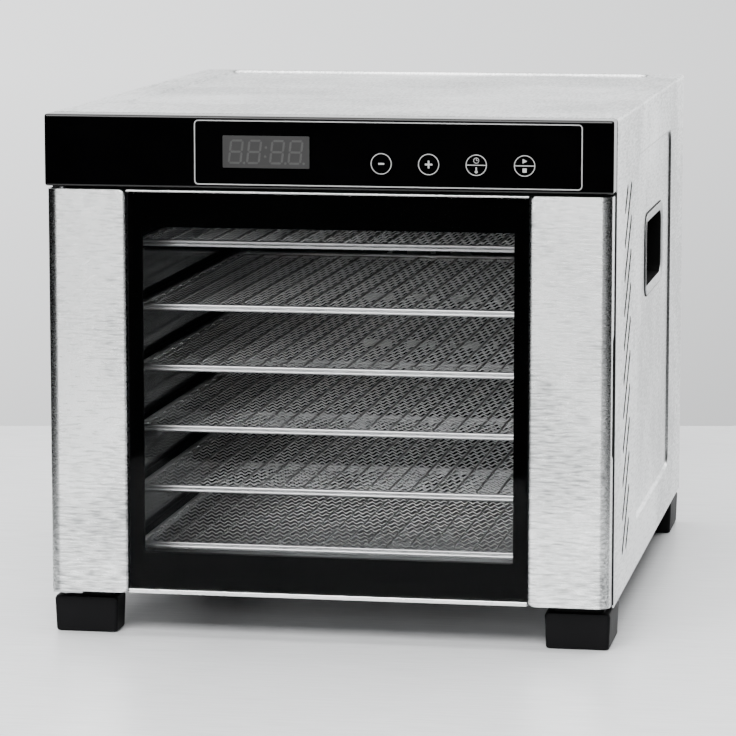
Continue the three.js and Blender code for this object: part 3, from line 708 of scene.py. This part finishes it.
def touch_icons():
    """Minus, plus, a clock over a thermometer, and a start triangle over a stop square."""
    line = 0.42 * MM
    bold = 0.95 * MM
    arm = 2.2 * MM
    z = TOUCH_HEIGHT
    minus, plus, setting, start = TOUCH_PLACES
    shapes = [ring_print("ring", (x, z), TOUCH_RADIUS, line) for x in TOUCH_PLACES]
    strokes = [
        ((minus - arm * 0.8, z), (minus + arm * 0.8, z), bold),
        ((plus - arm, z), (plus + arm, z), bold),
        ((plus, z - arm), (plus, z - bold / 2), bold),
        ((plus, z + bold / 2), (plus, z + arm), bold),
        ((setting - TOUCH_RADIUS + line, z), (setting + TOUCH_RADIUS - line, z), line),
        ((start - TOUCH_RADIUS + line, z), (start + TOUCH_RADIUS - line, z), line),
        ((setting, z + 2.7 * MM), (setting, z + 3.9 * MM), 0.3 * MM),
        ((setting, z + 2.7 * MM), (setting + 0.9 * MM, z + 2.7 * MM), 0.3 * MM),
        ((setting, z - 3.6 * MM), (setting, z - 1.2 * MM), 0.8 * MM),
    ]
    shapes += [flat_print("stroke", stroke(a, b, width)) for a, b, width in strokes]
    shapes.append(ring_print("clock", (setting, z + 2.7 * MM), 1.7 * MM, 0.3 * MM, 24))
    shapes.append(ring_print("bulb", (setting, z - 3.9 * MM), 0.9 * MM, 0.88 * MM, 16))
    triangle = [
        (start - 1.2 * MM, z + 1.3 * MM), (start + 1.5 * MM, z + 2.7 * MM), (start - 1.2 * MM, z + 4.1 * MM)]
    square = rounded(start - 1.2 * MM, start + 1.2 * MM, z - 3.9 * MM, z - 1.5 * MM, 0.2 * MM, 2)
    shapes.append(flat_print("start", triangle))
    shapes.append(flat_print("stop", square))
    return shapes


def build_print():
    mesh = join("touch_print", [outline_print(), *touch_icons()])
    make_object("touch_print", mesh, "case", INK)


DISPLAY = (-0.0615, -0.0095, 0.2845, 0.3035)
DIGIT = {"width": 7.0 * MM, "height": 13.2 * MM, "stroke": 1.25 * MM, "slant": 0.12}


def digit_segments(left, bottom):
    """Seven slanted bars of one digit, as loops with pointed ends."""
    width, height, thick = DIGIT["width"], DIGIT["height"], DIGIT["stroke"]
    gap = 0.25 * MM
    half = thick / 2
    nodes = {
        "a": ((0, height), (width, height)), "g": ((0, height / 2), (width, height / 2)),
        "d": ((0, 0), (width, 0)),
        "f": ((0, height / 2), (0, height)), "b": ((width, height / 2), (width, height)),
        "e": ((0, 0), (0, height / 2)), "c": ((width, 0), (width, height / 2)),
    }
    loops = []
    for (x0, z0), (x1, z1) in nodes.values():
        start, end = Vector((x0, z0)), Vector((x1, z1))
        along = (end - start).normalized()
        aside = Vector((-along.y, along.x)) * half
        start, end = start + along * gap, end - along * gap
        loop = [start, start + along * half - aside, end - along * half - aside, end,
                end - along * half + aside, start + along * half + aside]
        loops.append([(left + p.x + p.y * DIGIT["slant"], bottom + p.y) for p in loop])
    return loops


def build_display():
    """An unlit four-digit display behind the panel, with its colon and points."""
    x0, z0, z1 = DISPLAY[0], DISPLAY[2], DISPLAY[3]
    window = plate("display_window", "y", DISPLAY, PANEL_FACE - 0.03 * MM, PANEL_FACE + 0.5 * MM, 0.6 * MM)
    make_object("display_window", window, "case", print_ink("display_filter", 0.008),
                ["display_module"])
    bottom = (z0 + z1) / 2 - DIGIT["height"] / 2
    starts = [x0 + 3.6 * MM, x0 + 14.6 * MM, x0 + 28.4 * MM, x0 + 39.4 * MM]
    loops = [loop for left in starts for loop in digit_segments(left, bottom)]
    dot = 0.75 * MM
    dots = [
        (starts[1] + 10.9 * MM, bottom + DIGIT["height"] * 0.3),
        (starts[1] + 11.4 * MM, bottom + DIGIT["height"] * 0.7),
    ]
    dots += [(left + 9.2 * MM, bottom) for left in (starts[0], starts[2], starts[3])]
    for a, b in dots:
        loops.append(rounded(a - dot, a + dot, b - dot, b + dot, dot * 0.98, 3))
    bars = [flat_print("segment", loop) for loop in loops]
    make_object("display_digits", join("display_digits", bars), "case", DIM_INK)


# ---------------------------------------------------------------- door
PILLAR_LOW, PILLAR_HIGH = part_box("door_pillar_right")
PILLAR_BEND = 6.8 * MM
LIP_BEND = 2.4 * MM
PILLAR_SHEET = 1.0 * MM
NOTCH = (0.116, 0.187)
NOTCH_DEPTH = 5 * MM
LIP_END = PILLAR_LOW.y + 4.3 * MM


def arc(centre, radius, first, last, steps):
    return [(centre[0] + radius * math.cos(math.radians(first + (last - first) * i / steps)),
             centre[1] + radius * math.sin(math.radians(first + (last - first) * i / steps)))
            for i in range(steps + 1)]


def pillar_section(inner, flange_end):
    """The bent sheet of the right pillar seen from above: flange, bend, face, lip bend and lip."""
    outer = PILLAR_HIGH.x
    front = PILLAR_LOW.y
    bend_centre = (outer - PILLAR_BEND, front + PILLAR_BEND)
    lip_centre = (inner + LIP_BEND, front + LIP_BEND)
    outside = [(outer, flange_end)] + arc(bend_centre, PILLAR_BEND, 0, -90, 10)
    outside += arc(lip_centre, LIP_BEND, -90, -180, 8) + [(inner, LIP_END)]
    t = PILLAR_SHEET
    inside = [(inner + t, LIP_END)] + arc(lip_centre, LIP_BEND - t, -180, -90, 8)
    inside += arc(bend_centre, PILLAR_BEND - t, -90, 0, 10) + [(outer - t, flange_end)]
    return outside + inside


def pillar_levels(notched):
    """Heights of the sections, with the lip's corner and the notch's ends drawn finely."""
    low, high = PILLAR_LOW.z, PILLAR_HIGH.z
    corner = 3.0 * MM
    steps = [corner * (1 - math.cos(math.radians(15 * i))) for i in range(7)]
    levels = [low + s for s in steps] + [high - s for s in steps]
    if notched:
        for end in NOTCH:
            levels += [end + offset * MM for offset in (-2.0, -1.4, -0.7, 0.0, 0.7, 1.4, 2.0)]
    return sorted(set(round(level, 6) for level in levels)), corner


def lip_shift(level, corner):
    """The lip is set back on a quarter round at both ends of the pillar."""
    reach = min(level - PILLAR_LOW.z, PILLAR_HIGH.z - level)
    if reach >= corner:
        return 0.0
    return corner - math.sqrt(max(corner ** 2 - (corner - reach) ** 2, 0.0))


def notch_shift(level):
    share = min(level - NOTCH[0], NOTCH[1] - level) / (2 * MM)
    share = min(max(share * 0.5 + 0.5, 0.0), 1.0)
    return NOTCH_DEPTH * share * share * (3 - 2 * share)


def pillar_mesh(name, notched):
    levels, corner = pillar_levels(notched)
    rings = []
    for level in levels:
        flange_end = PILLAR_HIGH.y - (notch_shift(level) if notched else 0.0)
        section = pillar_section(PILLAR_LOW.x + lip_shift(level, corner), flange_end)
        rings.append([(x, y, level) for x, y in section])
    return loft(name, rings)


def build_pillars():
    right = pillar_mesh("pillar_right", True)
    left = mirrored(pillar_mesh("pillar_left", False), "pillar_left_mirrored")
    make_object("pillar_right", right, "door", STEEL_X, ["door_pillar_right"], sharp=40)
    make_object("pillar_left", left, "door", STEEL_X, ["door_pillar_left"], sharp=40)


GLASS_LOW, GLASS_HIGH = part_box("door_glass")
WINDOW = (-0.1116, 0.1116, 0.0514, 0.2481)


def build_glass():
    """The pane, and the black border printed on its back."""
    outline = (GLASS_LOW.x, GLASS_HIGH.x, GLASS_LOW.z, GLASS_HIGH.z)
    pane = plate("pane", "y", outline, GLASS_LOW.y, GLASS_HIGH.y, 1.0 * MM, 0.5 * MM, 0.5 * MM)
    make_object("glass_pane", pane, "door", GLASS, ["door_glass"], sharp=60)
    back = GLASS_HIGH.y
    edge = grown(outline, -0.2 * MM)
    border = band("border", "y", [
        (edge, 1 * MM, back + 0.02 * MM), (edge, 1 * MM, back + 0.15 * MM),
        (WINDOW, 0.8 * MM, back + 0.15 * MM), (WINDOW, 0.8 * MM, back + 0.02 * MM),
    ])
    make_object("glass_border", border, "door", BORDER_INK)


def build_door_trims():
    for name in ("door_bottom_trim", "door_top_trim"):
        low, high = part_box(name)
        fillet = min(0.45 * MM, (high.z - low.z) * 0.3)
        strip = plate(name, "x", (low.y, high.y, low.z, high.z), low.x, high.x, fillet, steps=3)
        make_object(f"{name}_strip", strip, "door", STEEL_TRIM, [name], sharp=50)


# ---------------------------------------------------------------- trays
MESH_PITCH = 13.39 * MM
ROW_PITCH = 12.0 * MM
CRIMP = MESH_PITCH / 2.5
WIRE_RADIUS = 0.48 * MM
WAVE = 0.72 * MM
RIM_RADIUS = 1.25 * MM
BAR_RADIUS = 0.95 * MM
BAR_DROP = 2.15 * MM
TRAY_LOW, TRAY_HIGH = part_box("tray_2")


def wire_tube(points, radius, sides, ring_axes):
    """Vertices and faces of a tube with its rings in the plane of two fixed axes."""
    points = np.asarray(points)
    turns = np.arange(sides) * 2 * math.pi / sides
    circle = np.outer(np.cos(turns), ring_axes[0]) + np.outer(np.sin(turns), ring_axes[1])
    vertices = (points[:, None, :] + circle[None, :, :] * radius).reshape(-1, 3)
    ring = np.arange(sides)
    after = (ring + 1) % sides
    starts = (np.arange(len(points) - 1) * sides)[:, None]
    faces = np.stack([starts + ring, starts + after, starts + sides + after, starts + sides + ring], axis=-1)
    faces = faces.reshape(-1, 4).tolist()
    faces.append(list(range(sides)))
    faces.append(list(range(len(vertices) - sides, len(vertices))))
    return vertices, faces


def crimped(length_from, length_to, phase):
    """Places along a wire and the height of its wave there."""
    steps = int(round((length_to - length_from) / CRIMP * 6))
    along = np.linspace(length_from, length_to, steps + 1)
    return along, WAVE * np.sin(2 * math.pi * along / CRIMP + phase)


def woven_mesh():
    """Crimped wires both ways. Where two cross, one is at the top of its wave and the other at the bottom."""
    x_low, x_high = TRAY_LOW.x + RIM_RADIUS, TRAY_HIGH.x - RIM_RADIUS
    y_low, y_high = TRAY_LOW.y + RIM_RADIUS, TRAY_HIGH.y - RIM_RADIUS
    half_count = 9
    columns = [i * MESH_PITCH for i in range(-half_count, half_count + 1)]
    middle = (y_low + y_high) / 2
    rows = [middle + i * ROW_PITCH for i in range(-12, 13)]
    vertices, faces, total = [], [], 0
    tubes = []
    for j, y in enumerate(rows):
        sign = 1 if j % 2 else -1
        along, height = crimped(x_low, x_high, sign * math.pi / 2)
        points = np.stack([along, np.full_like(along, y), height], axis=-1)
        tubes.append(wire_tube(points, WIRE_RADIUS, 5, np.array([(0, 1, 0), (0, 0, 1)], float)))
    for i, x in enumerate(columns):
        sign = 1 if i % 2 else -1
        phase = sign * math.pi / 2 - 2 * math.pi * middle / CRIMP
        along, height = crimped(y_low - BAR_RADIUS, y_high + BAR_RADIUS, phase)
        points = np.stack([np.full_like(along, x), along, -height], axis=-1)
        tubes.append(wire_tube(points, WIRE_RADIUS, 5, np.array([(1, 0, 0), (0, 0, 1)], float)))
    for tube_vertices, tube_faces in tubes:
        vertices.append(tube_vertices)
        faces += [[index + total for index in face] for face in tube_faces]
        total += len(tube_vertices)
    return mesh_of("woven_mesh", np.concatenate(vertices).tolist(), faces)


def rim_mesh():
    """The thick rim wire bent to a rounded rectangle, and the thin bars that clamp the mesh to it."""
    outline = (
        TRAY_LOW.x + RIM_RADIUS, TRAY_HIGH.x - RIM_RADIUS, TRAY_LOW.y + RIM_RADIUS, TRAY_HIGH.y - RIM_RADIUS)
    corner = 9 * MM
    sections = []
    for step in range(10):
        turn = 2 * math.pi * step / 10
        out = RIM_RADIUS * math.cos(turn)
        sections.append((grown(outline, out), corner + out, RIM_RADIUS * math.sin(turn)))
    rim = band("rim", "z", sections, steps=8)
    bars = []
    for y in (outline[2], outline[3]):
        points = [(outline[0] + 1 * MM, y, -BAR_DROP), (outline[1] - 1 * MM, y, -BAR_DROP)]
        vertices, faces = wire_tube(points, BAR_RADIUS, 8, np.array([(0, 1, 0), (0, 0, 1)], float))
        bars.append(mesh_of("bar", vertices.tolist(), faces))
    for x in (outline[0], outline[1]):
        points = [(x, outline[2] + 1 * MM, -BAR_DROP), (x, outline[3] - 1 * MM, -BAR_DROP)]
        vertices, faces = wire_tube(points, BAR_RADIUS, 8, np.array([(1, 0, 0), (0, 0, 1)], float))
        bars.append(mesh_of("bar", vertices.tolist(), faces))
    return join("tray_rim", [rim, *bars])


def build_trays():
    """Each tray is a rim piece and a mesh piece; the top and bottom ones lie upside down."""
    mesh = woven_mesh()
    rim = rim_mesh()
    for polygon in mesh.polygons:
        polygon.use_smooth = True
    for number, node in enumerate(TRAYS):
        low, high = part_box(node)
        flipped = number in (0, len(TRAYS) - 1)
        way = -1 if flipped else 1
        centre = low.z + RIM_RADIUS if flipped else high.z - RIM_RADIUS
        for part, source, rise in (("rim", rim, 0.0), ("mesh", mesh, -BAR_DROP + 0.3 * MM)):
            copy = source.copy()
            for vertex in copy.vertices:
                vertex.co.z = centre + way * (vertex.co.z + rise)
            if flipped:
                copy.flip_normals()
            replaced = [node] if part == "rim" else ()
            make_object(f"{node}_{part}", copy, node, WIRE, replaced, sharp=50)


# ---------------------------------------------------------------- CAD nodes that stay
def dress_nodes():
    """Materials, and small edge rounds, for the frame's own nodes."""
    dressed = {
        # The base plate is painted shade: dark metal in place of its zinc.
        "base_plate": (BASE_PLATE_SHADE, 0), "rear_panel": (ZINC, 0.25), "cord_gland": (BLACK, 0.5),
        "front_frame": (BLACK, 0.4), "control_board": (BOARD, 0), "door_frame": (BLACK, 0.5),
        "door_seal": (SEAL_BLACK, 0.5), "catch_plate": (ZINC, 0.2), "door_magnet": (ZINC, 0.3),
        "hinge_pin_top": (ZINC, 0.3), "hinge_pin_bottom": (ZINC, 0.3), "hinge_bracket": (ZINC, 0.2),
        "rack_wall_left": (RACK_STEEL, 0.3), "rack_wall_right": (RACK_STEEL, 0.3),
        "chamber_ceiling": (CHAMBER_BLACK_AND_SHADE, 0),
        # The motor plate takes the black chamber coating as painted shade: its zinc would show lit through
        # the baffle's slots.
        "chamber_floor": (FLOOR_STEEL, 0), "rear_baffle": (CHAMBER_BLACK_AND_SHADE, 0.2), "motor_plate": (CHAMBER_BLACK_AND_SHADE, 0),
        "heater_coil": (HEATER, 0), "heater_mount_left": (CERAMIC, 0.4), "heater_mount_right": (CERAMIC, 0.4),
        "fan_impeller": (ALUMINIUM, 0), "motor_shaft": (ZINC, 0.2), "fan_motor": (ZINC, 0.5),
        "temperature_sensor": (ZINC, 0.2), "thermal_fuse": (CERAMIC, 0.2), "power_board": (BOARD, 0.1),
    }
    for number in range(1, 5):
        dressed[f"rear_screw_{number}"] = (ZINC, 0.4)
    for place_name in ("front_left", "front_right", "rear_left", "rear_right"):
        dressed[f"foot_screw_{place_name}"] = (ZINC, 0.3)
    for name, (material, width) in dressed.items():
        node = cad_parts[name]
        node.data.materials.clear()
        node.data.materials.append(material)
        if width:
            bevel_node(name, width * MM)


# ---------------------------------------------------------------- stage
CAMERA_PLACE = (0.4014, -2.3664, 0.4735)
CAMERA_YAW, CAMERA_PITCH = -9.957, -8.018
CAMERA_LENS = 182.0


def build_camera():
    data = bpy.data.cameras.new("camera")
    data.lens = CAMERA_LENS
    data.sensor_width = 36
    data.clip_start, data.clip_end = 0.05, 50
    camera = bpy.data.objects.new("camera", data)
    camera.location = CAMERA_PLACE
    camera.rotation_euler = Euler(
        (math.radians(90 + CAMERA_PITCH), 0, math.radians(-CAMERA_YAW)))
    bpy.context.scene.collection.objects.link(camera)
    bpy.context.scene.camera = camera


def softbox(name, place_at, target, size, power):
    data = bpy.data.lights.new(name, "AREA")
    data.shape = "RECTANGLE"
    data.size, data.size_y = size
    data.energy = power
    light = bpy.data.objects.new(name, data)
    light.location = place_at
    direction = Vector(target) - Vector(place_at)
    light.rotation_euler = direction.to_track_quat("-Z", "Y").to_euler()
    bpy.context.scene.collection.objects.link(light)


BACKDROP_SIDE = (0.72, 0.93)  # how squarely a direction points to the back before the white backdrop begins
DARK_ROOM = 0.012
WHITE_BACKDROP = 1.9
# What the camera sees of the backdrop is painted light: darker low down, brighter higher up.
SEEN_BACKDROP = (1.15, 1.75)
SEEN_ACROSS = (1.15, 0.85)  # the backdrop's light comes from the left


def direction_level(nodes, links, axis, start, end, low, high):
    """A level that changes with one component of the direction looked in."""
    coordinates = nodes.new("ShaderNodeTexCoord")
    split = nodes.new("ShaderNodeSeparateXYZ")
    links.new(coordinates.outputs["Generated"], split.inputs["Vector"])
    return spread(nodes, links, split.outputs[axis], low, high, start, end)


def build_world():
    """A white sweep behind the object and a dark room in front of it.

    The sweep has one level where the camera sees it and another where the object mirrors it.
    """
    world = bpy.data.worlds.new("studio")
    bpy.context.scene.world = world
    world.use_nodes = True
    nodes, links = world.node_tree.nodes, world.node_tree.links
    seen = nodes.new("ShaderNodeMath")
    seen.operation = "MULTIPLY"
    links.new(direction_level(nodes, links, "Z", -0.16, -0.06, *SEEN_BACKDROP), seen.inputs[0])
    links.new(direction_level(nodes, links, "X", -0.27, -0.07, *SEEN_ACROSS), seen.inputs[1])
    felt = direction_level(nodes, links, "Y", *BACKDROP_SIDE, DARK_ROOM, WHITE_BACKDROP)
    path = nodes.new("ShaderNodeLightPath")
    choice = nodes.new("ShaderNodeMix")
    choice.data_type = "FLOAT"
    links.new(path.outputs["Is Camera Ray"], choice.inputs["Factor"])
    links.new(felt, choice.inputs["A"])
    links.new(seen.outputs[0], choice.inputs["B"])
    links.new(choice.outputs["Result"], nodes["Background"].inputs["Strength"])
    nodes["Background"].inputs["Color"].default_value = (0.98, 0.99, 1.0, 1)


FRONT_TARGET = (0, -0.2, 0.16)
CENTRE = (0, 0, 0.16)
# Name, place, the point it faces, width and height, watts.
SOFTBOXES = (
    ("front", (-0.25, -2.2, 1.75), FRONT_TARGET, (2.4, 1.1), 130),
    ("front_fill", (-0.2, -3.0, 0.85), FRONT_TARGET, (1.8, 0.5), 26),
    ("overhead", (0.0, 0.2, 1.9), CENTRE, (2.4, 2.0), 78),
    ("right", (1.7, 2.2, 0.9), CENTRE, (1.0, 1.4), 25),
    ("left", (-1.7, 2.2, 0.9), CENTRE, (1.0, 1.4), 12),
)


def build_lights():
    for name, place_at, target, size, power in SOFTBOXES:
        softbox(name, place_at, target, size, power)


TABLE = {"half": 0.45, "near": -0.81, "far": 0.62}


def build_floor():
    """A pale table with a faint grain, lying square to the camera."""
    turn = math.radians(CAMERA_YAW)
    ahead = Vector((math.sin(turn), math.cos(turn), 0))
    aside = Vector((math.cos(turn), -math.sin(turn), 0))
    corners = [
        ahead * TABLE["near"] - aside * TABLE["half"], ahead * TABLE["near"] + aside * TABLE["half"],
        ahead * TABLE["far"] + aside * TABLE["half"], ahead * TABLE["far"] - aside * TABLE["half"],
    ]
    mesh = mesh_of("table", corners, [(0, 1, 2, 3)])
    material, nodes, links, shader = new_material("table_top")
    grain = noise(nodes, links, 1.0, (26, 420, 420), detail=4.0)
    cloud = noise(nodes, links, 2.5, detail=3.0)
    links.new(tint(nodes, links, grain, (0.70, 0.71, 0.72), (0.84, 0.85, 0.86)), shader.inputs["Base Color"])
    links.new(spread(nodes, links, cloud, 0.32, 0.40), shader.inputs["Roughness"])
    links.new(bump(nodes, links, grain, 0.3, 0.0003), shader.inputs["Normal"])
    mesh.materials.append(material)
    table = bpy.data.objects.new("table", mesh)
    bpy.context.scene.collection.objects.link(table)


# ---------------------------------------------------------------- assembly
build_camera()
build_world()
build_lights()
build_floor()
build_wrap()
build_louvre_lips()
build_handles()
build_feet()
build_fascia()
build_print()
build_display()
build_pillars()
build_glass()
build_door_trims()
build_trays()
dress_nodes()
